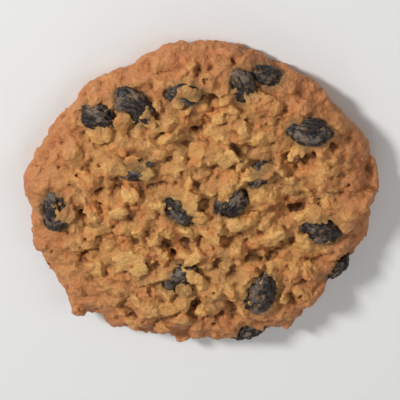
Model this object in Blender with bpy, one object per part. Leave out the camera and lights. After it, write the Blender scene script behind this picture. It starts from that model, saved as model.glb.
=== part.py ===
"""An oatmeal raisin cookie: one round of dropped and baked oat dough with raisins set in it.

Metres, +Z up. The cookie lies on its flat baked underside, which is at z = 0. The origin is
the middle of that underside. Each raisin is a solid of its own in a pocket of the dough.
"""

import math

import bmesh
import bpy
from mathutils import Euler, Matrix, Vector, noise
from mathutils.bvhtree import BVHTree

MM = 0.001

# The round of dough.
MEAN_RADIUS = 39.3 * MM
CROWN_HEIGHT = 11.9 * MM  # middle of the top, before its lumps
SHOULDER_HEIGHT = 10.0 * MM  # where the top turns down into the edge
WAIST_HEIGHT = 4.2 * MM  # where the cookie is widest
SHOULDER_REACH = 0.80  # share of the radius at which the top turns down
BASE_REACH = 0.90  # share of the radius that rests on the tray
SPHERE_SHARE_OF_TOP = 0.74  # how much of the starting sphere becomes the flat of the top
SPHERE_SHARE_OF_BASE = 0.88
SPHERE_SUBDIVISIONS = 5

# Where the dough spread further or less far while it baked: direction, bulge and width.
OUTLINE_LOBES = (
    (20, 0.6 * MM, 16),
    (54, -1.0 * MM, 16),
    (84, 1.0 * MM, 14),
    (108, -0.8 * MM, 10),
    (136, -2.2 * MM, 17),
    (176, 1.0 * MM, 14),
    (200, 0.8 * MM, 14),
    (227, 3.4 * MM, 17),
    (268, -0.6 * MM, 12),
    (300, 0.4 * MM, 16),
    (334, -1.2 * MM, 16),
)
OUTLINE_CRUMBLE = 1.4 * MM  # from the deepest notch to the highest bump
OUTLINE_CRUMBLE_WAVES = 6.0  # noise cells along one radius

# The relief of the top: broad rises, lumps of oats and the hollows between them.
RISE_SIZE = 17 * MM
RISE_HEIGHT = 1.7 * MM
LUMP_SIZE = 7.6 * MM
LUMP_HEIGHT = 3.1 * MM
LUMP_LEVEL = 0.36  # share of a lump's height that stands above the plain surface
HOLLOWS = (  # x, y, depth and radius
    (-1.0 * MM, 20.5 * MM, 1.8 * MM, 3.6 * MM),
    (-4.4 * MM, -1.6 * MM, 1.6 * MM, 4.6 * MM),
    (-6.4 * MM, -12.6 * MM, 1.9 * MM, 2.8 * MM),
    (-27.0 * MM, -14.6 * MM, 1.3 * MM, 2.8 * MM),
    (5.0 * MM, -8.0 * MM, 1.3 * MM, 2.4 * MM),
    (19.0 * MM, -13.0 * MM, 1.6 * MM, 4.0 * MM),
    (21.0 * MM, 12.0 * MM, 1.5 * MM, 3.8 * MM),
)

# Raisins: about 9 mm long, 6 mm wide and 4.5 mm thick, each in a slightly larger pocket.
RAISIN_HALF_SIZE = Vector((4.6, 3.1, 2.3)) * MM
RAISIN_SEGMENTS = 12
RAISIN_RINGS = 7
RAISIN_FOLDS = (4, 5, 6)  # how many run along a raisin, taken in turn
FOLD_DEPTH = 0.105  # share of the raisin's own radius
FOLD_TWIST = 2.2  # radians from the middle of a raisin to its end
DENT_DEPTH = 0.075
DENT_WAVES = 3.1  # radians from the middle of a raisin to its end
POCKET_GAP = 0.4 * MM

# On the top: x, y, heading, scale of the raisin, and how much of it stands out of the dough.
TOP_RAISINS = (
    (-23.2 * MM, 23.6 * MM, 112, 0.88, 1.3 * MM),
    (-15.0 * MM, 26.8 * MM, -66, 1.06, 1.8 * MM),
    (-33.0 * MM, -1.4 * MM, 96, 1.05, 1.2 * MM),
    (-4.6 * MM, -0.6 * MM, -34, 1.00, 1.1 * MM),
    (7.4 * MM, 2.0 * MM, 75, 0.95, 1.2 * MM),
    (-4.4 * MM, -19.4 * MM, 4, 0.98, 0.7 * MM),
    (-14.6 * MM, 11.0 * MM, 40, 0.90, 0.3 * MM),
    (-3.2 * MM, 30.0 * MM, 8, 0.82, 0.3 * MM),
    (24.5 * MM, 20.5 * MM, 118, 1.04, 1.5 * MM),
    (28.0 * MM, -6.4 * MM, 20, 1.02, 1.4 * MM),
    (14.5 * MM, -23.5 * MM, -35, 1.10, 1.3 * MM),
    (13.6 * MM, 9.6 * MM, -12, 0.86, 0.4 * MM),
    (9.5 * MM, 31.5 * MM, 152, 0.88, 0.9 * MM),
)
# In the edge: direction from the middle, height, heading, scale and how much stands out.
EDGE_RAISINS = (
    (65, 5.8 * MM, 12, 0.86, 0.9 * MM),
    (288, 5.0 * MM, -20, 0.92, 0.9 * MM),
    (330, 5.2 * MM, 4, 0.84, 0.6 * MM),
)
# In the underside, just clear of what the cookie lies on: x, y, heading and scale.
UNDERSIDE_RAISINS = (
    (-11.0 * MM, -14.0 * MM, 30, 0.95),
    (17.5 * MM, 9.0 * MM, -50, 1.00),
    (-16.0 * MM, 17.5 * MM, 100, 0.88),
)
UNDERSIDE_CLEARANCE = 0.3 * MM
UNDERSIDE_LIFT = 0.30  # height of such a raisin's middle, as a share of its half thickness
CAST_DISTANCE = 100 * MM  # longer than the cookie is across

CRUST_COLOUR = (0.46, 0.21, 0.08)
CRUST_ROUGHNESS = 0.75
RAISIN_COLOUR = (0.045, 0.028, 0.022)
RAISIN_ROUGHNESS = 0.45


def clear_scene():
    for obj in list(bpy.data.objects):
        bpy.data.objects.remove(obj, do_unlink=True)


def new_collection(name):
    collection = bpy.data.collections.new(name)
    bpy.context.scene.collection.children.link(collection)
    return collection


def plain_material(name, colour, roughness):
    material = bpy.data.materials.new(name)
    material.use_nodes = True
    surface = material.node_tree.nodes["Principled BSDF"]
    surface.inputs["Base Color"].default_value = (*colour, 1)
    surface.inputs["Roughness"].default_value = roughness
    surface.inputs["Metallic"].default_value = 0
    return material


def outline_radius(angle):
    """How far the dough spread in this direction, at its widest height."""
    radius = MEAN_RADIUS
    for direction, bulge, width in OUTLINE_LOBES:
        off = (math.degrees(angle) - direction + 180) % 360 - 180
        radius += bulge * math.exp(-((off / width) ** 2))
    around = Vector((math.cos(angle), math.sin(angle), 0)) * OUTLINE_CRUMBLE_WAVES
    return radius + OUTLINE_CRUMBLE * noise.noise(around)


def relief(point):
    """Height of the lumpy surface above its plain profile at this point."""
    rise = RISE_HEIGHT * noise.noise(point / RISE_SIZE)
    nearest = noise.voronoi(point / LUMP_SIZE)[0][0]
    lump = LUMP_HEIGHT * (LUMP_LEVEL - nearest * nearest)
    hollow = sum(
        depth * math.exp(-((point.x - x) ** 2 + (point.y - y) ** 2) / size**2)
        for x, y, depth, size in HOLLOWS
    )
    return rise + lump - hollow


def profile(share, reach, flat_share, flat_height, middle_height):
    """Radius share, height and outward lean on one side of the waist.

    share runs from 0 at the middle to 1 at the waist. The flat ends at flat_share, where the
    radius share is reach, and a quarter ellipse then turns through a right angle.
    """
    if share <= flat_share:
        along = share / flat_share
        height = middle_height + (flat_height - middle_height) * along**2
        return reach * along, height, 0.0
    lean = (share - flat_share) / (1 - flat_share) * math.pi / 2
    radius_share = reach + (1 - reach) * math.sin(lean)
    height = WAIST_HEIGHT + (flat_height - WAIST_HEIGHT) * math.cos(lean)
    return radius_share, height, lean


def dough_point(direction):
    """Where a point of the unit sphere goes on the cookie's surface."""
    angle = math.atan2(direction.y, direction.x)
    share = math.sqrt(max(0.0, 1 - abs(direction.z)))
    if direction.z < 0:
        sides = profile(share, BASE_REACH, SPHERE_SHARE_OF_BASE, 0.0, 0.0)
    else:
        sides = profile(
            share, SHOULDER_REACH, SPHERE_SHARE_OF_TOP, SHOULDER_HEIGHT, CROWN_HEIGHT
        )
    radius_share, height, lean = sides
    radius = radius_share * outline_radius(angle)
    outwards = Vector((math.cos(angle), math.sin(angle), 0))
    point = outwards * radius + Vector((0, 0, height))
    if direction.z < 0:
        strength = math.sin(lean) ** 2
        up = 0.0
    else:
        strength = 1.0
        up = math.cos(lean)
    bump = relief(point) * strength
    point += bump * (outwards * math.sin(lean) + Vector((0, 0, up)))
    point.z = max(point.z, 0.0)
    return point


def make_dough(collection, material):
    """The whole round without its pockets, centred on the origin by its box."""
    shape = bmesh.new()
    bmesh.ops.create_icosphere(shape, subdivisions=SPHERE_SUBDIVISIONS, radius=1)
    for vertex in shape.verts:
        vertex.co = dough_point(vertex.co.normalized())
    middle = Vector(
        (max(v.co[i] for v in shape.verts) + min(v.co[i] for v in shape.verts)) / 2
        for i in range(2)
    ).to_3d()
    bmesh.ops.translate(shape, verts=shape.verts, vec=-middle)
    bmesh.ops.recalc_face_normals(shape, faces=shape.faces)
    mesh = bpy.data.meshes.new("dough")
    shape.to_mesh(mesh)
    shape.free()
    mesh.shade_smooth()
    mesh.materials.append(material)
    dough = bpy.data.objects.new("dough", mesh)
    collection.objects.link(dough)
    return dough


def raisin_mesh(name, half_size, folds, flat_at=None):
    """A dried grape: an ellipsoid with folds that run along it and shallow dents across.

    flat_at is the height, from its middle, of a flat that the baking tray pressed on it.
    """
    shape = bmesh.new()
    bmesh.ops.create_uvsphere(
        shape, u_segments=RAISIN_SEGMENTS, v_segments=RAISIN_RINGS, radius=1
    )
    # The sphere's poles go to the two ends of the raisin.
    bmesh.ops.rotate(shape, verts=shape.verts, matrix=Matrix.Rotation(math.pi / 2, 3, "Y"))
    for vertex in shape.verts:
        around = math.atan2(vertex.co.z, vertex.co.y)
        fold = FOLD_DEPTH * math.sin(folds * around + FOLD_TWIST * vertex.co.x)
        dent = DENT_DEPTH * math.sin(2 * around + DENT_WAVES * vertex.co.x + folds)
        vertex.co *= 1 + (fold + dent) * (1 - vertex.co.x**2)
    bmesh.ops.scale(shape, verts=shape.verts, vec=half_size)
    if flat_at is not None:
        bmesh.ops.bisect_plane(
            shape,
            geom=shape.verts[:] + shape.edges[:] + shape.faces[:],
            plane_co=(0, 0, flat_at),
            plane_no=(0, 0, -1),
            clear_outer=True,
        )
        bmesh.ops.holes_fill(shape, edges=shape.edges, sides=0)
    bmesh.ops.recalc_face_normals(shape, faces=shape.faces)
    mesh = bpy.data.meshes.new(name)
    shape.to_mesh(mesh)
    shape.free()
    mesh.shade_smooth()
    return mesh


def surface_under(tree, start, towards):
    """The dough's surface point and normal met from start in the direction towards."""
    point, normal, _, _ = tree.ray_cast(start, towards, CAST_DISTANCE)
    return point, normal


def seat(point, normal, heading, half_thickness, showing):
    """Matrix of a raisin that lies in the surface, with that much of it standing out."""
    turn = normal.to_track_quat("Z", "Y").to_matrix().to_4x4()
    turn = turn @ Matrix.Rotation(math.radians(heading), 4, "Z")
    return Matrix.Translation(point + normal * (showing - half_thickness)) @ turn


def raisin_seats(dough):
    """(matrix, scale, flat_at) of every raisin, worked out from the dough's surface."""
    graph = bpy.context.evaluated_depsgraph_get()
    tree = BVHTree.FromObject(dough, graph)
    down = Vector((0, 0, -1))
    seats = []
    for x, y, heading, scale, showing in TOP_RAISINS:
        point, normal = surface_under(tree, Vector((x, y, CAST_DISTANCE / 2)), down)
        normal = (normal + Vector((0, 0, 1))).normalized()
        half = RAISIN_HALF_SIZE.z * scale
        seats.append((seat(point, normal, heading, half, showing), scale, None))
    for direction, height, heading, scale, showing in EDGE_RAISINS:
        inwards = -Vector(
            (math.cos(math.radians(direction)), math.sin(math.radians(direction)), 0)
        )
        start = Vector((0, 0, height)) - inwards * CAST_DISTANCE / 2
        point, _ = surface_under(tree, start, inwards)
        turn = (-inwards).to_track_quat("Z", "Y").to_matrix().to_4x4()
        turn = turn @ Matrix.Rotation(math.radians(heading), 4, "Z")
        half = RAISIN_HALF_SIZE.z * scale
        centre = point - inwards * (showing - half)
        seats.append((Matrix.Translation(centre) @ turn, scale, None))
    for x, y, heading, scale in UNDERSIDE_RAISINS:
        turn = Euler((0, 0, math.radians(heading))).to_matrix().to_4x4()
        lift = RAISIN_HALF_SIZE.z * scale * UNDERSIDE_LIFT
        flat_at = UNDERSIDE_CLEARANCE - lift
        seats.append((Matrix.Translation((x, y, lift)) @ turn, scale, flat_at))
    return seats


def add_raisins(dough, raisins, cutters, material):
    """Sets every raisin in the dough, with a cutter around it for its pocket."""
    for number, (matrix, scale, flat_at) in enumerate(raisin_seats(dough), start=1):
        name = f"raisin_{number:02d}"
        folds = RAISIN_FOLDS[(number + 1) % len(RAISIN_FOLDS)]
        half_size = RAISIN_HALF_SIZE * scale
        mesh = raisin_mesh(name, half_size, folds, flat_at)
        mesh.materials.append(material)
        raisin = bpy.data.objects.new(name, mesh)
        raisin.matrix_world = matrix
        raisins.objects.link(raisin)
        pocket_size = half_size + Vector((POCKET_GAP,) * 3)
        pocket_mesh = raisin_mesh(name + "_pocket", pocket_size, folds)
        pocket = bpy.data.objects.new(name + "_pocket", pocket_mesh)
        pocket.matrix_world = matrix
        pocket.hide_render = True
        pocket.display_type = "WIRE"
        cutters.objects.link(pocket)


def cut_pockets(dough, cutters):
    cut = dough.modifiers.new("raisin pockets", "BOOLEAN")
    cut.operation = "DIFFERENCE"
    cut.solver = "EXACT"
    cut.operand_type = "COLLECTION"
    cut.collection = cutters


def main():
    clear_scene()
    cookie = new_collection("oatmeal_raisin_cookie")
    cutters = new_collection("pocket_cutters")
    crust = plain_material("baked_dough", CRUST_COLOUR, CRUST_ROUGHNESS)
    skin = plain_material("raisin_skin", RAISIN_COLOUR, RAISIN_ROUGHNESS)
    dough = make_dough(cookie, crust)
    add_raisins(dough, cookie, cutters, skin)
    cut_pockets(dough, cutters)


main()
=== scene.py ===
import math

import bpy
import numpy as np
from mathutils import Matrix, Vector, noise
from mathutils.bvhtree import BVHTree


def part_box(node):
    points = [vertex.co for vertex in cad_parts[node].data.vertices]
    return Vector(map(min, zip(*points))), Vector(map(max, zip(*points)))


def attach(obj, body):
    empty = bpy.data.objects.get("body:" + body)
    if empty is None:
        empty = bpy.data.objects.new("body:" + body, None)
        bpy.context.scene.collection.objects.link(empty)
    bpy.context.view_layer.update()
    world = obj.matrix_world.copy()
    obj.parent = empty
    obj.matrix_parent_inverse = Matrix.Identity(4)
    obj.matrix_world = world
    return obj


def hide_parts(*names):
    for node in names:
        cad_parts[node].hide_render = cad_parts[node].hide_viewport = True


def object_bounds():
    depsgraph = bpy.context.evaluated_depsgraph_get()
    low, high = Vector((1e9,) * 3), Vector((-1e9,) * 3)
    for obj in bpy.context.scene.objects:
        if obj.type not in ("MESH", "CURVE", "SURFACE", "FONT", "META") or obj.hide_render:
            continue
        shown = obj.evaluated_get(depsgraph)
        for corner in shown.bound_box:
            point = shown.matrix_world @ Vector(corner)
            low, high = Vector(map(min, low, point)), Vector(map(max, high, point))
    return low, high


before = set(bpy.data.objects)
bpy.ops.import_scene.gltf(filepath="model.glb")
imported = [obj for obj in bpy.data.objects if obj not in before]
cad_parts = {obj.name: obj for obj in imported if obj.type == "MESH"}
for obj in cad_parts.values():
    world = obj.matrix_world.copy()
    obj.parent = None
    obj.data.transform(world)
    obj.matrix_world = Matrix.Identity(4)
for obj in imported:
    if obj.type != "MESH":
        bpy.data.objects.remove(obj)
cad_low, cad_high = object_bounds()


# Rolled oats: oat kernels steamed and pressed flat between rollers. Each is a thin oval with an
# uneven rim, a crease where the kernel's groove was, and a curl from drying. A few are made here.
# Copies of them are pressed into the dough's skin and scattered on it, and are then put away.
MM = 0.001
FLAKE_LENGTH = 5.2 * MM
FLAKE_THICKNESS = 1.3 * MM
FLAKE_POINTS = 12  # round the rim
FLAKE_KINDS = (  # width as a share of the length, curl and how deep the crease is
    (0.74, 30, 0.45 * MM),
    (0.64, -24, 0.35 * MM),
    (0.82, 38, 0.20 * MM),
    (0.70, -34, 0.50 * MM),
    (0.60, 18, 0.30 * MM),
    (0.78, -10, 0.40 * MM),
)
FLAKE_RAGGED = 0.8 * MM  # how far its rim strays from an oval
RAGGED_SIZE = 2.2 * MM
CREASE_REACH = 0.35 * MM


def select_only(*objs):
    bpy.ops.object.select_all(action="DESELECT")
    for obj in objs:
        obj.select_set(True)
    bpy.context.view_layer.objects.active = objs[0]


def modify(obj, name, kind, **settings):
    """Adds a modifier with these settings and applies it, as its Apply button would."""
    select_only(obj)
    modifier = obj.modifiers.new(name, kind)
    for setting, value in settings.items():
        setattr(modifier, setting, value)
    bpy.ops.object.modifier_apply(modifier=name)


def texture(name, kind, **settings):
    """A procedural texture that a Displace modifier reads."""
    pattern = bpy.data.textures.new(name, kind)
    for setting, value in settings.items():
        setattr(pattern, setting, value)
    return pattern


def roughen(obj, number, size, strength):
    """Pushes an outline about at random, differently for each number."""
    ragged = texture(f"ragged {obj.name}", "CLOUDS", noise_scale=size, noise_depth=0)
    ragged.cloud_type = "COLOR"
    guide = bpy.data.objects.new("ragged place", None)
    guide.location = (number * 7.3 * MM, number * 3.1 * MM, 0)
    bpy.context.scene.collection.objects.link(guide)
    bpy.context.view_layer.update()
    modify(
        obj, "ragged", "DISPLACE", texture=ragged, texture_coords="OBJECT",
        texture_coords_object=guide, direction="RGB_TO_XYZ", strength=strength,
    )
    bpy.data.objects.remove(guide)


def rolled_flake(number, width, curl, crease):
    """One flake at the origin, its length along X and its thickness along Z."""
    bpy.ops.object.select_all(action="DESELECT")
    bpy.ops.mesh.primitive_circle_add(
        vertices=FLAKE_POINTS, radius=FLAKE_LENGTH / 2, fill_type="NGON"
    )
    flake = bpy.context.object
    flake.name = f"rolled_flake_{number}"
    bpy.ops.object.mode_set(mode="EDIT")
    bpy.ops.transform.resize(value=(1, width, 1))
    bpy.ops.mesh.inset(thickness=FLAKE_LENGTH * 0.13)
    bpy.ops.transform.resize(value=(1, 0.62, 1))
    bpy.ops.transform.translate(value=(0, 0, 0.25 * MM))
    bpy.ops.mesh.poke()
    bpy.ops.mesh.select_all(action="DESELECT")
    bpy.ops.object.mode_set(mode="OBJECT")
    for vertex in flake.data.vertices:
        vertex.select = abs(vertex.co.y) < CREASE_REACH
    bpy.ops.object.mode_set(mode="EDIT")
    bpy.ops.transform.translate(value=(0, 0, -crease))
    bpy.ops.object.mode_set(mode="OBJECT")
    roughen(flake, number, RAGGED_SIZE, FLAKE_RAGGED)
    modify(flake, "thickness", "SOLIDIFY", thickness=FLAKE_THICKNESS, offset=0.0)
    modify(
        flake, "curl", "SIMPLE_DEFORM", deform_method="BEND", deform_axis="Y",
        angle=math.radians(curl),
    )
    flake.hide_render = True
    return flake


flake_kinds = [
    rolled_flake(number, *shape) for number, shape in enumerate(FLAKE_KINDS, start=1)
]

# Oat bits: the chips that break off in the rollers, rounded by the dough that coats them.
BIT_LENGTH = 2.6 * MM
BIT_KINDS = ((0.80, 0.62), (0.62, 0.55), (0.95, 0.50), (0.70, 0.75))  # width, thickness
BIT_RAGGED = 0.7 * MM
BIT_RAGGED_SIZE = 1.1 * MM


def oat_bit(number, width, thickness):
    bpy.ops.object.select_all(action="DESELECT")
    bpy.ops.mesh.primitive_ico_sphere_add(subdivisions=1, radius=BIT_LENGTH / 2)
    bit = bpy.context.object
    bit.name = f"oat_bit_{number}"
    bpy.ops.object.mode_set(mode="EDIT")
    bpy.ops.transform.resize(value=(1, width, thickness))
    bpy.ops.object.mode_set(mode="OBJECT")
    roughen(bit, number, BIT_RAGGED_SIZE, BIT_RAGGED)
    return bit


bit_kinds = [oat_bit(number, *shape) for number, shape in enumerate(BIT_KINDS, start=1)]

# The baked dough: rolled oats, flour, sugar and butter dropped as a round that spread in the oven.
# Its skin is flakes and bits of oat stuck in dough at all angles, browner and smoother towards the
# edge. It keeps the solid's raisin pockets, and one shell is fused from the solid and the oats.
SEED = 11
BURIED_FLAKES = {  # length is a share of the flake's own, and lift has a middle and a spread
    "spacing": 3.2 * MM, "length": (0.8, 1.35), "lean": 20, "clearance": 0.7 * MM,
    "lift": (0.0, 0.45 * MM),
}
BURIED_BITS = {
    "spacing": 2.0 * MM, "length": (0.6, 1.3), "lean": 30, "clearance": 0.55 * MM,
    "lift": (0.0, 0.45 * MM),
}
TOP_FLAKES = {
    "spacing": 7.0 * MM, "length": (0.7, 1.15), "lean": 14, "clearance": 0.9 * MM,
    "lift": (0.05 * MM, 0.15 * MM),
}
TOP_BITS = {
    "spacing": 2.6 * MM, "length": (0.35, 0.8), "lean": 30, "clearance": 0.4 * MM,
    "lift": (0.0, 0.2 * MM),
}
THICKNESS_SPREAD = (0.8, 1.3)
NEAR_RAISIN = 1.6 * MM
NEAR_RAISIN_SIZE = 0.75  # share of their size that flakes have beside a raisin
CALM_LEAN = 0.55  # how much less the flakes lean, and spread in height, at the edge
CALM_LIFT = 0.6
RIM_SINK = 0.25 * MM
UNDERSIDE_TOP = 0.6 * MM  # flakes lower than this lie flat in the underside
HALF_HIDDEN = {  # the flakes over a raisin, by their distance in mm from its middle in x and y
    "raisin_01": ((1.2, -3.0),),
    "raisin_02": ((3.0, -1.8), (-2.6, -2.4)),
    "raisin_03": ((2.6, 0.4), (-0.5, 1.2)),
    "raisin_04": ((2.2, 2.4), (4.0, -0.6)),
    "raisin_05": ((-2.0, 2.6),),
    "raisin_06": ((0.8, -2.4), (-3.2, 1.0), (3.4, 1.2)),
    "raisin_07": ((-1.8, 1.0), (2.0, -0.4), (0.4, 2.4)),
    "raisin_08": ((-1.6, -0.6), (1.8, 0.8), (0.0, 1.8)),
    "raisin_12": ((-2.2, 0.2), (1.4, 1.2)),
    "raisin_13": ((1.8, -1.4),),
}
HIDING_SIZE = (0.75, 1.05)
HIDING_LEAN = 12
TOP_FROM = 3 * MM  # the top and the upper side begin at this height
LIP_SPACING = 1.0 * MM
LIP_REACH = (0.36 * MM, 1.0 * MM)
LIP_SIZE = (0.45, 1.0)
LIP_SHARE = 0.8
LIP_LEAN = 0.3
SMEARED_RAISINS = 13  # those in the top come first
SMEAR_SPACING = 1.0 * MM
SMEAR_SIZE = (0.4, 0.85)
SMEAR_REACH = (0.45 * MM, 1.7 * MM)
SMEAR_SHARE = 0.36
SMEAR_LIFT = 0.15  # mm
SMEAR_LEAN = 0.2
SMEAR_STEEPEST = 0.25  # upward part of the normal on the steepest skin that is smeared
TOP_SINK = (0.7 * MM, 2.1 * MM)  # at a raisin and away from them
SIDE_SINK = 0.018
SKIN_VOXEL = 0.28 * MM
SKIN_TRIANGLES = 190_000
GAP_CLOSING = 0.55 * MM  # gaps up to twice as wide are filled with dough
LUMPS = ((5.0 * MM, 3.4 * MM, "SOFT_NOISE"), (2.4 * MM, -1.1 * MM, "HARD_NOISE"))
CRUMB = ((1.7 * MM, 0.7 * MM), (0.8 * MM, 0.55 * MM))
PIT_SPACING = 4.2 * MM
PIT_SHARE = 0.30
PIT_CLEARANCE = 1.0 * MM
PIT_RADIUS = (0.4 * MM, 0.9 * MM)
PIT_DEPTH = (0.7 * MM, 1.5 * MM)
PIT_REACH = 2.2  # radii from its middle that a pit may stray
PIT_UNEVENNESS = 0.9
CHOSEN_PITS = (  # x, y, radius and depth in mm
    (-6.4, -12.6, 1.5, 2.0),
    (-1.0, 20.5, 1.6, 1.9),
    (-27.2, -14.6, 1.4, 1.6),
    (-27.0, -1.6, 1.2, 1.5),
    (5.0, -8.0, 1.0, 1.6),
    (-9.6, -1.2, 0.9, 1.4),
    (-15.0, 1.5, 0.9, 1.3),
    (-11.0, -22.0, 1.3, 1.5),
)
SIDE_ROOM = 0.6 * MM  # how far the crust may reach outside the solid's side
TOP_ROOM = 0.15 * MM  # and above the solid's top
LEVEL_FROM = 12.3 * MM  # above this height the lumps are pressed lower
UP = Vector((0, 0, 1))
DOWN = Vector((0, 0, -1))


def merged_copy(node, name):
    """A copy of a solid's mesh with its loose triangles joined at their corners."""
    copy = bpy.data.objects.new(name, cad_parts[node].data.copy())
    bpy.context.scene.collection.objects.link(copy)
    select_only(copy)
    bpy.ops.object.mode_set(mode="EDIT")
    bpy.ops.mesh.select_all(action="SELECT")
    bpy.ops.mesh.remove_doubles(threshold=0.005 * MM)
    bpy.ops.object.mode_set(mode="OBJECT")
    return copy


def surface_tree(*objs):
    """One search tree over these objects' surfaces."""
    corners, faces = [], []
    for obj in objs:
        first = len(corners)
        corners += [obj.matrix_world @ vertex.co for vertex in obj.data.vertices]
        faces += [[first + i for i in face.vertices] for face in obj.data.polygons]
    return BVHTree.FromPolygons(corners, faces)


def scatter(obj, spacing):
    """Points on a surface, at least spacing apart, each with the surface's normal."""
    mesh = obj.data
    mesh.calc_loop_triangles()
    triangles = mesh.loop_triangles
    areas = np.array([triangle.area for triangle in triangles])
    tries = int(areas.sum() / spacing**2 * 9)
    picks = draws.choice(len(triangles), size=tries, p=areas / areas.sum())
    shares = draws.random((tries, 2))
    cells = {}
    kept = []
    for pick, (first, second) in zip(picks, shares):
        if first + second > 1:
            first, second = 1 - first, 1 - second
        a, b, c = (mesh.vertices[i].co for i in triangles[pick].vertices)
        point = a + (b - a) * first + (c - a) * second
        cell = tuple(int(math.floor(value / spacing)) for value in point)
        around = (
            near
            for i in (-1, 0, 1)
            for j in (-1, 0, 1)
            for k in (-1, 0, 1)
            for near in cells.get((cell[0] + i, cell[1] + j, cell[2] + k), ())
        )
        if all((point - near).length > spacing for near in around):
            cells.setdefault(cell, []).append(point)
            kept.append((point, triangles[pick].normal.copy()))
    return kept


def lay(point, normal, heading, lean, lean_way, size):
    """Matrix of a thing that lies on a surface, turned by heading and tipped by lean."""
    place = Matrix.Translation(point) @ normal.to_track_quat("Z", "Y").to_matrix().to_4x4()
    tip = Matrix.Rotation(lean, 4, Vector((math.cos(lean_way), math.sin(lean_way), 0)))
    return place @ tip @ Matrix.Rotation(heading, 4, "Z") @ Matrix.Diagonal((*size, 1))


def copies(kinds, places):
    """A copy of a kind at each place, its kind taken in turn."""
    made = []
    for number, place in enumerate(places):
        kind = kinds[number % len(kinds)]
        copy = bpy.data.objects.new(kind.name + "_copy", kind.data.copy())
        copy.data.transform(place)
        bpy.context.scene.collection.objects.link(copy)
        made.append(copy)
    return made


def join(objs, name):
    select_only(*objs)
    bpy.ops.object.join()
    joined = bpy.context.object
    joined.name = name
    return joined


def vertex_values(mesh, name):
    """The co or the normal of each vertex, as rows of three."""
    flat = np.empty(len(mesh.vertices) * 3, np.float32)
    mesh.vertices.foreach_get(name, flat)
    return flat.reshape(-1, 3)


def positions(mesh):
    return vertex_values(mesh, "co")


def move_to(mesh, spots):
    mesh.vertices.foreach_set("co", spots.astype(np.float32).ravel())
    mesh.update()


def ramp(values, start, end):
    """0 below start and 1 above end, smoothly between them."""
    share = np.clip((values - start) / (end - start), 0, 1)
    return share * share * (3 - 2 * share)


def clear_of_raisins(obj, near, far):
    """0 at the raisins and 1 away from them, for each vertex."""
    gaps = [raisin_tree.find_nearest(vertex.co)[3] for vertex in obj.data.vertices]
    return ramp(np.array(gaps), near, far)


def sink_core(obj):
    """Lowers the top and pulls in the side, to leave the flakes that lie there their room."""
    spots = positions(obj.data)
    sink = TOP_SINK[0] + (TOP_SINK[1] - TOP_SINK[0]) * clear_of_raisins(obj, 1 * MM, 4 * MM)
    spots[:, 2] -= sink * ramp(spots[:, 2], 3 * MM, 9 * MM)
    spots[:, :2] *= 1 - SIDE_SINK * ramp(spots[:, 2:], 0.2 * MM, 2 * MM)
    move_to(obj.data, spots)


def pressed_in(spacing, length, lean, clearance, lift):
    """Places for flakes stuck in the dough's skin, no nearer to a raisin than clearance.

    lean is in degrees. lift and its spread are how far a flake's middle is off the surface.
    """
    places = []
    for point, normal in scatter(crust, spacing):
        size = draws.uniform(*length)
        thickness = draws.uniform(*THICKNESS_SPREAD) * size
        heading, lean_way = draws.uniform(0, math.tau, 2)
        tip, rise = draws.normal(0, 1, 2)
        to_raisin = raisin_tree.find_nearest(point)[3]
        if to_raisin < clearance:
            continue
        if to_raisin < NEAR_RAISIN:
            size *= NEAR_RAISIN_SIZE
        rim = min(1.0, math.hypot(point.x, point.y) / outer_reach) ** 4
        if point.z < UNDERSIDE_TOP:
            normal, tip, rise = DOWN, 0.0, -2.0
        tip *= math.radians(lean) * (1 - CALM_LEAN * rim)
        rise = lift[0] + lift[1] * rise * (1 - CALM_LIFT * rim) - RIM_SINK * rim
        spot = point + normal * rise
        places.append(lay(spot, normal, heading, tip, lean_way, (size, size, thickness)))
    return places


def over_raisins():
    """Places for the flakes that lie half over raisins."""
    places = []
    for node, offsets in HALF_HIDDEN.items():
        low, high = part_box(node)
        for x, y in offsets:
            spot = Vector(((low.x + high.x) / 2 + x * MM, (low.y + high.y) / 2 + y * MM, 0))
            spot.z = high.z + draws.uniform(-1.0, -0.1) * MM
            heading, lean_way = draws.uniform(0, math.tau, 2)
            size = draws.uniform(*HIDING_SIZE)
            tip = math.radians(draws.normal(0, HIDING_LEAN))
            places.append(lay(spot, UP, heading, tip, lean_way, (size,) * 3))
    return places


def around_raisins():
    """Places for the bits of dough that climb the sides of the raisins."""
    places = []
    for point, _ in scatter(crust, LIP_SPACING):
        heading, lean_way, chance = draws.random(3)
        size = draws.uniform(*LIP_SIZE)
        near, _, _, distance = raisin_tree.find_nearest(point)
        beside = LIP_REACH[0] < distance < LIP_REACH[1]
        if not beside or point.z < TOP_FROM or chance > LIP_SHARE:
            continue
        spot = point + (near - point) * 0.6 + UP * (draws.uniform(-0.1, 0.35) * MM)
        turn, way = heading * math.tau, lean_way * math.tau
        places.append(lay(spot, UP, turn, LIP_LEAN, way, (size,) * 3))
    return places


def smeared_up():
    """Places for the dough that was smeared up over the edges of the raisins in the top."""
    places = []
    for name in raisin_names[:SMEARED_RAISINS]:
        for point, normal in scatter(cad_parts[name], SMEAR_SPACING):
            heading, lean_way, chance = draws.random(3)
            size = draws.uniform(*SMEAR_SIZE)
            to_dough = solid_tree.find_nearest(point)[3]
            if normal.z < SMEAR_STEEPEST or not SMEAR_REACH[0] < to_dough < SMEAR_REACH[1]:
                continue
            if chance < SMEAR_SHARE:
                spot = point + normal * SMEAR_LIFT * MM
                turn, way = heading * math.tau, lean_way * math.tau
                places.append(lay(spot, normal, turn, SMEAR_LEAN, way, (size,) * 3))
    return places


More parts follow.
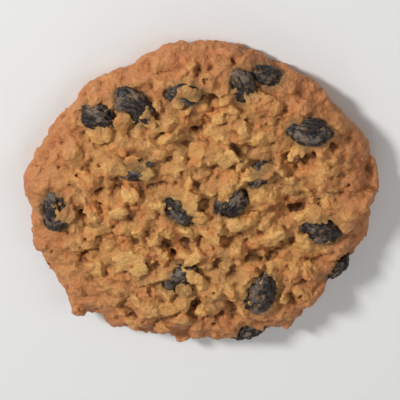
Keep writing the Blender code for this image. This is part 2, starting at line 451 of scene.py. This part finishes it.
def keep_outline(obj):
    """Pulls in what sticks out of the solid's side further than SIDE_ROOM."""
    spots = positions(obj.data)
    free = SIDE_ROOM / 2
    for number in np.flatnonzero(np.hypot(*spots[:, :2].T) > 0.8 * outer_reach):
        spot = Vector(spots[number])
        near, normal, _, _ = solid_tree.find_nearest(spot)
        out = (spot - near).dot(normal)
        if out > free:
            kept = free * (1 + math.tanh((out - free) / free))
            spots[number] = spot - normal * (out - kept)
    move_to(obj.data, spots)


def group(obj, name, weights):
    """A vertex group with these weights, in steps of a tenth."""
    made = obj.vertex_groups.new(name=name)
    steps = np.round(weights * 10).astype(int)
    for step in range(1, 11):
        made.add(np.flatnonzero(steps == step).tolist(), step / 10, "REPLACE")


def press_pits():
    """Sinks the small holes that steam left in the top, and a few larger ones in the middle."""
    places = [
        (point, normal, draws.uniform(*PIT_RADIUS), draws.uniform(*PIT_DEPTH))
        for point, normal in scatter(crust, PIT_SPACING)
        if point.z > TOP_FROM
        and raisin_tree.find_nearest(point)[3] > PIT_CLEARANCE
        and draws.random() < PIT_SHARE
    ]
    crust_tree = surface_tree(crust)
    for x, y, radius, depth in CHOSEN_PITS:
        start = Vector((x * MM, y * MM, 0.1))
        point, normal, _, _ = crust_tree.ray_cast(start, DOWN)
        places.append((point, normal, radius * MM, depth * MM))
    spots = positions(crust.data).astype(float)
    moved = spots.copy()
    for point, normal, radius, depth in places:
        away = spots - np.array(point)
        near = np.flatnonzero((away**2).sum(axis=1) < (PIT_REACH * radius) ** 2)
        skew = np.array([noise.noise(Vector(spots[i]) / radius) for i in near])
        share = np.sqrt((away[near] ** 2).sum(axis=1)) / radius + PIT_UNEVENNESS * skew
        sink = depth * (1 - ramp(share, 0.25, 1.25))
        moved[near] -= sink[:, None] * np.array(normal)
    move_to(crust.data, moved)


def press_level(obj):
    """Presses what hangs below the table up to it, and the highest lumps down."""
    spots = positions(obj.data)
    room = cad_high.z + TOP_ROOM - LEVEL_FROM
    over = np.maximum(spots[:, 2] - LEVEL_FROM, 0)
    spots[:, 2] = np.where(over > 0, LEVEL_FROM + room * np.tanh(over / room), spots[:, 2])
    spots[:, 2] = np.maximum(spots[:, 2], 0)
    move_to(obj.data, spots)


# The core and what is buried in it, with the narrow gaps between the flakes closed by dough.
draws = np.random.default_rng(SEED)
raisin_names = sorted(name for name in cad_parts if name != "dough")
raisin_tree = surface_tree(*(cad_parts[name] for name in raisin_names))
crust = merged_copy("dough", "crust")
outer_reach = (cad_high.x - cad_low.x) / 2
solid_tree = surface_tree(crust)
sink_core(crust)
buried = copies(flake_kinds, pressed_in(**BURIED_FLAKES))
buried += copies(bit_kinds, pressed_in(**BURIED_BITS))
crust = join([crust, *buried], "crust")
modify(crust, "fuse", "REMESH", mode="VOXEL", voxel_size=SKIN_VOXEL)
modify(crust, "swell", "DISPLACE", strength=GAP_CLOSING, mid_level=0.0)
modify(crust, "close gaps", "REMESH", mode="VOXEL", voxel_size=SKIN_VOXEL)
modify(crust, "shrink", "DISPLACE", strength=-GAP_CLOSING, mid_level=0.0)
modify(crust, "melted edges", "SMOOTH", factor=0.5, iterations=4)

# The soft lumps, lower at the edge and none at the raisins.
away = clear_of_raisins(crust, 0.6 * MM, 3.0 * MM)
reach = np.hypot(*positions(crust.data)[:, :2].T) / outer_reach
group(crust, "free", away * (1 - 0.55 * ramp(reach, 0.75, 0.98)))
group(crust, "edge", ramp(reach, 0.72, 0.95))
modify(crust, "smoother edge", "SMOOTH", factor=0.5, iterations=6, vertex_group="edge")
for size, strength, kind in LUMPS:
    lumps = texture("lumps", "CLOUDS", noise_scale=size, noise_depth=1, noise_type=kind)
    modify(
        crust, "lumps", "DISPLACE", texture=lumps, texture_coords="LOCAL", strength=strength,
        vertex_group="free",
    )

# The flakes, bits and smears that lie on top, then the crumb and the pits.
flake_places = pressed_in(**TOP_FLAKES) + over_raisins()
flake_tones = draws.random(len(flake_places))
flakes = join(copies(flake_kinds, flake_places), "top_flakes")
flake_tree = surface_tree(flakes)
flake_faces = len(flake_kinds[0].data.polygons)
bits = copies(bit_kinds, pressed_in(**TOP_BITS) + around_raisins() + smeared_up())
crust = join([crust, flakes, *bits], "crust")
keep_outline(crust)
modify(crust, "fuse again", "REMESH", mode="VOXEL", voxel_size=SKIN_VOXEL)
modify(crust, "melted edges", "SMOOTH", factor=0.5, iterations=8)
for size, strength in CRUMB:
    crumb = texture("crumb", "CLOUDS", noise_scale=size, noise_depth=1)
    modify(crust, "crumb", "DISPLACE", texture=crumb, texture_coords="LOCAL", strength=strength)
press_pits()
press_level(crust)
modify(
    crust, "thin out", "DECIMATE", decimate_type="COLLAPSE",
    ratio=min(1.0, SKIN_TRIANGLES / (2 * len(crust.data.polygons))),
)
press_level(crust)
select_only(crust)
bpy.ops.object.shade_smooth()


# What the crust's colours go by: how deep and how raised each spot is, for the painted shade in
# its hollows and the painted light on its raised tops, how near a raisin, and on which flake it
# lies.
FINE_ROUNDS = 6
BROAD_ROUNDS = 60
STAIN_REACH = (0.2 * MM, 2.2 * MM)
FLAKE_EDGE = (0.12 * MM, 0.45 * MM)


def attribute(obj, name, values):
    """Stores one number a vertex under this name, for a material to read."""
    store = obj.data.attributes.new(name, "FLOAT", "POINT")
    store.data.foreach_set("value", np.asarray(values, np.float32))


def hollowness(mesh, rounds):
    """How far each vertex lies under the surface as smoothed over so many rounds."""
    spots = positions(mesh).astype(float)
    facing = vertex_values(mesh, "normal")
    edges = np.empty(len(mesh.edges) * 2, np.int32)
    mesh.edges.foreach_get("vertices", edges)
    ends = edges.reshape(-1, 2)
    here = np.concatenate((ends[:, 0], ends[:, 1]))
    there = np.concatenate((ends[:, 1], ends[:, 0]))
    count = np.maximum(np.bincount(here, minlength=len(spots)), 1)
    smooth = spots
    for _ in range(rounds):
        smooth = np.stack(
            [
                np.bincount(here, smooth[there, axis], minlength=len(spots)) / count
                for axis in range(3)
            ],
            axis=1,
        )
    return ((smooth - spots) * facing).sum(axis=1)


fine = hollowness(crust.data, FINE_ROUNDS)
broad = hollowness(crust.data, BROAD_ROUNDS)
# hollow sets the painted shade in the crust's hollows, and raised the painted light that pales its
# tops.
attribute(crust, "hollow", ramp(broad + 0.8 * fine, -0.1 * MM, 1.3 * MM))
attribute(crust, "raised", ramp(-broad, 0.0, 0.9 * MM))
to_raisin, oat, tone = [], [], []
for vertex in crust.data.vertices:
    to_raisin.append(raisin_tree.find_nearest(vertex.co)[3])
    _, _, face, distance = flake_tree.find_nearest(vertex.co)
    oat.append(distance)
    tone.append(flake_tones[face // flake_faces])
attribute(crust, "stain", 1 - ramp(np.array(to_raisin), *STAIN_REACH))
attribute(crust, "oat", 1 - ramp(np.array(oat), *FLAKE_EDGE))
attribute(crust, "tone", tone)


class Wire:
    """An output of a shader node. Reckoning with it adds the Math nodes for the sum."""

    def __init__(self, tree, socket=None):
        self.tree = tree
        self.socket = socket

    def node(self, kind, settings=None, inputs=None, output=0):
        """Adds a node, sets its settings and then its sockets, and gives one output of it."""
        made = self.tree.nodes.new("ShaderNode" + kind)
        for name, value in (settings or {}).items():
            setattr(made, name, value)
        for name, value in (inputs or {}).items():
            if isinstance(value, Wire):
                self.tree.links.new(value.socket, made.inputs[name])
            else:
                made.inputs[name].default_value = value
        return Wire(self.tree, made.outputs[output])

    def math(self, operation, *values):
        return self.node("Math", {"operation": operation}, dict(enumerate(values)))

    def __add__(self, other):
        return self.math("ADD", self, other)

    def __radd__(self, other):
        return self.math("ADD", other, self)

    def __sub__(self, other):
        return self.math("SUBTRACT", self, other)

    def __rsub__(self, other):
        return self.math("SUBTRACT", other, self)

    def __mul__(self, other):
        return self.math("MULTIPLY", self, other)

    def __rmul__(self, other):
        return self.math("MULTIPLY", other, self)

    def between(self, start, end):
        """0 where this is below start and 1 above end, smoothly between them."""
        return self.node(
            "MapRange", {"interpolation_type": "SMOOTHSTEP"}, {0: self, 1: start, 2: end}
        )

    def mix(self, first, second, blend="MIX"):
        """The first colour where this is 0 and the second where it is 1."""
        settings = {"data_type": "RGBA", "blend_type": blend}
        return self.node("Mix", settings, {0: self, 6: first, 7: second}, output=2)

    def attribute(self, name):
        return self.node("Attribute", {"attribute_name": name}, output="Fac")

    def noise(self, size, detail=3.0, roughness=0.5, distortion=0.0):
        """Clouds about this size, from 0 to 1, fixed in the object."""
        place = self.node("TexCoord", output="Object")
        return self.node(
            "TexNoise",
            None,
            {
                "Vector": place, "Scale": 1 / size, "Detail": detail,
                "Roughness": roughness, "Distortion": distortion,
            },
        )


def start_material(name, **constants):
    """A material, a wire into its nodes, and its Principled shader with these constants."""
    material = bpy.data.materials.new(name)
    material.use_nodes = True
    shader = material.node_tree.nodes["Principled BSDF"]
    for socket, value in constants.items():
        shader.inputs[socket.replace("_", " ")].default_value = value
    return material, Wire(material.node_tree), shader


def shade(wire, shader, colour, roughness, *bumps):
    """Feeds the shader, with bumps as pairs of height and depth."""
    links = wire.tree.links
    links.new(colour.socket, shader.inputs["Base Color"])
    links.new(roughness.socket, shader.inputs["Roughness"])
    surface = None
    for height, depth in bumps:
        inputs = {"Height": height, "Distance": depth}
        if surface is not None:
            inputs["Normal"] = surface
        surface = wire.node("Bump", None, inputs)
    links.new(surface.socket, shader.inputs["Normal"])


DOUGH_TAN = (0.52, 0.244, 0.072, 1)
OAT_PALE = (0.86, 0.500, 0.160, 1)
OAT_DEEP = (0.61, 0.300, 0.080, 1)
OLIVE_TAN = (0.38, 0.212, 0.070, 1)
ORANGE = (0.60, 0.216, 0.060, 1)
RIM_BROWN = (0.47, 0.162, 0.057, 1)
TOASTED = (0.30, 0.104, 0.028, 1)
VALLEY_SHADE = (0.23, 0.086, 0.024, 1)
CREVICE_SHADE = (0.090, 0.031, 0.010, 1)
STAINED = (0.17, 0.110, 0.036, 1)


def baked_dough():
    material, wire, shader = start_material(
        "baked_dough", Subsurface_Weight=0.12, Subsurface_Scale=1.2 * MM, IOR=1.45
    )
    shader.inputs["Subsurface Radius"].default_value = (1.0, 0.4, 0.15)
    middle = wire.node("TexCoord", output="Object")
    across = wire.node("VectorMath", {"operation": "MULTIPLY"}, {0: middle, 1: (1, 1, 0)})
    radius = wire.node("VectorMath", {"operation": "LENGTH"}, {0: across}, output="Value")
    streak = wire.noise(2.4 * MM, 2)
    broad = wire.noise(11 * MM, 2)
    patchy = wire.noise(4.2 * MM, 3)
    mottle = wire.noise(1.5 * MM, 4, 0.62)
    grain = wire.noise(0.5 * MM, 3, 0.6)
    hollow = wire.attribute("hollow")
    oat = wire.attribute("oat")
    raised = wire.attribute("raised")
    tone = wire.attribute("tone")
    stain = wire.attribute("stain")
    towards_rim = (radius + (broad - 0.5) * (16 * MM)).between(24 * MM, 41 * MM)
    flake = (tone * 0.8 + (mottle - 0.5) * 0.9).mix(OAT_DEEP, OAT_PALE)
    colour = (broad.between(0.5, 0.65) * 0.4).mix(DOUGH_TAN, OLIVE_TAN)
    # Painted light: the raised tops are painted paler, as though lit from above.
    colour = (raised * (0.3 + 0.6 * mottle.between(0.42, 0.6))).mix(colour, OAT_PALE)
    colour = (oat * 0.75).mix(colour, flake)
    colour = (patchy.between(0.47, 0.63) * 0.7).mix(colour, ORANGE)
    colour = (towards_rim * (0.55 + 0.45 * streak)).mix(colour, RIM_BROWN)
    colour = (mottle.between(0.52, 0.72) * 0.25).mix(colour, TOASTED)
    colour = (grain.between(0.55, 0.8) * 0.15).mix(colour, TOASTED)
    colour = (stain * patchy.between(0.3, 0.6) * 0.8).mix(colour, STAINED)
    # Painted shade: the hollows are darkened towards a shaded brown.
    colour = (hollow.between(0.12, 0.95) * 0.85).mix(colour, VALLEY_SHADE)
    # Painted shade: the deepest hollows and pits are darkened nearly to black.
    colour = (hollow + (mottle - 0.5) * 0.3).between(0.72, 1.1).mix(colour, CREVICE_SHADE)
    roughness = 0.34 + 0.25 * mottle + 0.4 * hollow
    shade(wire, shader, colour, roughness, (mottle, 0.7 * MM), (grain, 0.35 * MM))
    return material


crust.data.materials.clear()
crust.data.materials.append(baked_dough())
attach(crust, "root")
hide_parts("dough")

# Raisins: dried grapes, wrinkled along their length, dark with a grey bloom. They were stirred
# into the dough, so each sits in a pocket of it with its upper side showing.
RAISIN_SUBDIVISIONS = 5
RAISIN_FULLNESS = 1.06  # of the solid's size, because the wrinkles take some away
RAISIN_THINNING = 0.45  # share of the triangles that stays
RAISIN_LOWEST = 0.05 * MM


def principal_frame(obj):
    """The middle of a solid, its axes from longest to shortest, and its half sizes."""
    spots = np.array([vertex.co for vertex in obj.data.vertices])
    middle = (spots.max(0) + spots.min(0)) / 2
    _, _, axes = np.linalg.svd(spots - spots.mean(0), full_matrices=False)
    if np.linalg.det(axes) < 0:
        axes[2] *= -1
    along = (spots - middle) @ axes.T
    return Vector(middle), axes, (along.max(0) - along.min(0)) / 2


def wrinkled(point, offset):
    """Radius of a raisin in this direction, before it is stretched to its size."""
    near = Vector((point.x * 0.8, point.y * 1.5, point.z * 1.5)) + offset
    bend = noise.noise_vector(near * 0.8) * 0.7
    fold = abs(noise.noise(near * 1.5 + bend))
    minor = abs(noise.noise(near * 3.6 + bend))
    dent = noise.noise(near * 0.9)
    return 1.04 - 0.30 * (1 - min(1, fold * 5)) ** 2 - 0.10 * (1 - min(1, minor * 4)) + 0.30 * dent


def raisin_piece(node):
    middle, axes, half = principal_frame(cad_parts[node])
    bpy.ops.object.select_all(action="DESELECT")
    bpy.ops.mesh.primitive_ico_sphere_add(subdivisions=RAISIN_SUBDIVISIONS, radius=1)
    raisin = bpy.context.object
    raisin.name = node.replace("raisin", "dried_raisin")
    offset = Vector(draws.uniform(-50, 50, 3))
    turn = Matrix(axes).transposed()
    for vertex in raisin.data.vertices:
        radius = wrinkled(vertex.co, offset)
        stretched = Vector(vertex.co[i] * radius * half[i] * RAISIN_FULLNESS for i in range(3))
        vertex.co = middle + turn @ stretched
    modify(raisin, "thin out", "DECIMATE", decimate_type="COLLAPSE", ratio=RAISIN_THINNING)
    spots = positions(raisin.data)
    spots[:, 2] = np.maximum(spots[:, 2], RAISIN_LOWEST)
    move_to(raisin.data, spots)
    bpy.ops.object.shade_smooth()
    return raisin


SKIN_DARK = (0.012, 0.008, 0.007, 1)
SKIN_BROWN = (0.060, 0.022, 0.011, 1)
SKIN_BLOOM = (0.090, 0.072, 0.070, 1)
SMEAR = (0.26, 0.150, 0.048, 1)


def raisin_skin():
    material, wire, shader = start_material("raisin_skin", IOR=1.45)
    mottle = wire.noise(1.1 * MM, 4, 0.6)
    patchy = wire.noise(3.6 * MM, 2)
    fine = wire.noise(0.35 * MM, 3, 0.6)
    hollow = wire.attribute("hollow")
    colour = mottle.between(0.45, 0.7).mix(SKIN_DARK, SKIN_BROWN)
    bloom = (1 - 0.7 * hollow) * (patchy + (mottle - 0.5) * 0.4).between(0.48, 0.62)
    colour = bloom.mix(colour, SKIN_BLOOM)
    coated = (mottle + (patchy - 0.5) * 0.6).between(0.50, 0.62) * (0.35 + 0.6 * hollow)
    colour = coated.mix(colour, SMEAR)
    roughness = 0.30 + 0.35 * mottle
    shade(wire, shader, colour, roughness, (mottle, 0.3 * MM), (fine, 0.12 * MM))
    return material


skin = raisin_skin()
for node in raisin_names:
    raisin = raisin_piece(node)
    attribute(raisin, "hollow", ramp(hollowness(raisin.data, 12), -0.05 * MM, 0.25 * MM))
    raisin.data.materials.append(skin)
    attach(raisin, "root")
    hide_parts(node)

for flake in flake_kinds + bit_kinds:
    bpy.data.objects.remove(flake)

# The plain pale table that the cookie lies on, the soft studio light, and the camera.
bpy.ops.object.select_all(action="DESELECT")
bpy.ops.mesh.primitive_plane_add(size=6)
floor = bpy.context.object
floor.name = "floor"
floor_material, wire, shader = start_material("pale_floor", Roughness=0.9)
shader.inputs["Base Color"].default_value = (0.80, 0.80, 0.79, 1)
floor.data.materials.append(floor_material)


def area_light(name, place, target, size, energy):
    bpy.ops.object.light_add(type="AREA", location=place)
    light = bpy.context.object
    light.name = name
    light.data.shape = "DISK"
    light.data.size = size
    light.data.energy = energy
    light.rotation_euler = (target - Vector(place)).to_track_quat("-Z", "Y").to_euler()


centre = (cad_low + cad_high) / 2
area_light("key", (-0.58, 0.46, 0.52), centre, 0.18, 7.2)
area_light("fill", (0.55, 0.15, 0.60), centre, 0.6, 1.0)
area_light("back", (0.05, -0.70, 0.50), centre, 0.5, 1.0)
world = bpy.data.worlds.new("studio")
bpy.context.scene.world = world
world.use_nodes = True
world.node_tree.nodes["Background"].inputs["Color"].default_value = (1, 1, 1, 1)
world.node_tree.nodes["Background"].inputs["Strength"].default_value = 0.27

CAMERA_TILT = math.radians(32)  # from straight above, towards the edge at +Y
CAMERA_DISTANCE = 0.62
VIEW_WIDTH = 0.0925  # what the picture takes in at the cookie
toward_camera = Vector((0, math.sin(CAMERA_TILT), math.cos(CAMERA_TILT)))
picture_up = Vector((0, math.cos(CAMERA_TILT), -math.sin(CAMERA_TILT)))
bpy.ops.object.camera_add(location=centre + toward_camera * CAMERA_DISTANCE)
camera = bpy.context.object
camera.rotation_euler = Matrix(
    (picture_up.cross(toward_camera), picture_up, toward_camera)
).transposed().to_euler()
camera.data.lens = camera.data.sensor_width * CAMERA_DISTANCE / VIEW_WIDTH
bpy.context.scene.camera = camera
bpy.context.scene.view_settings.view_transform = "Standard"
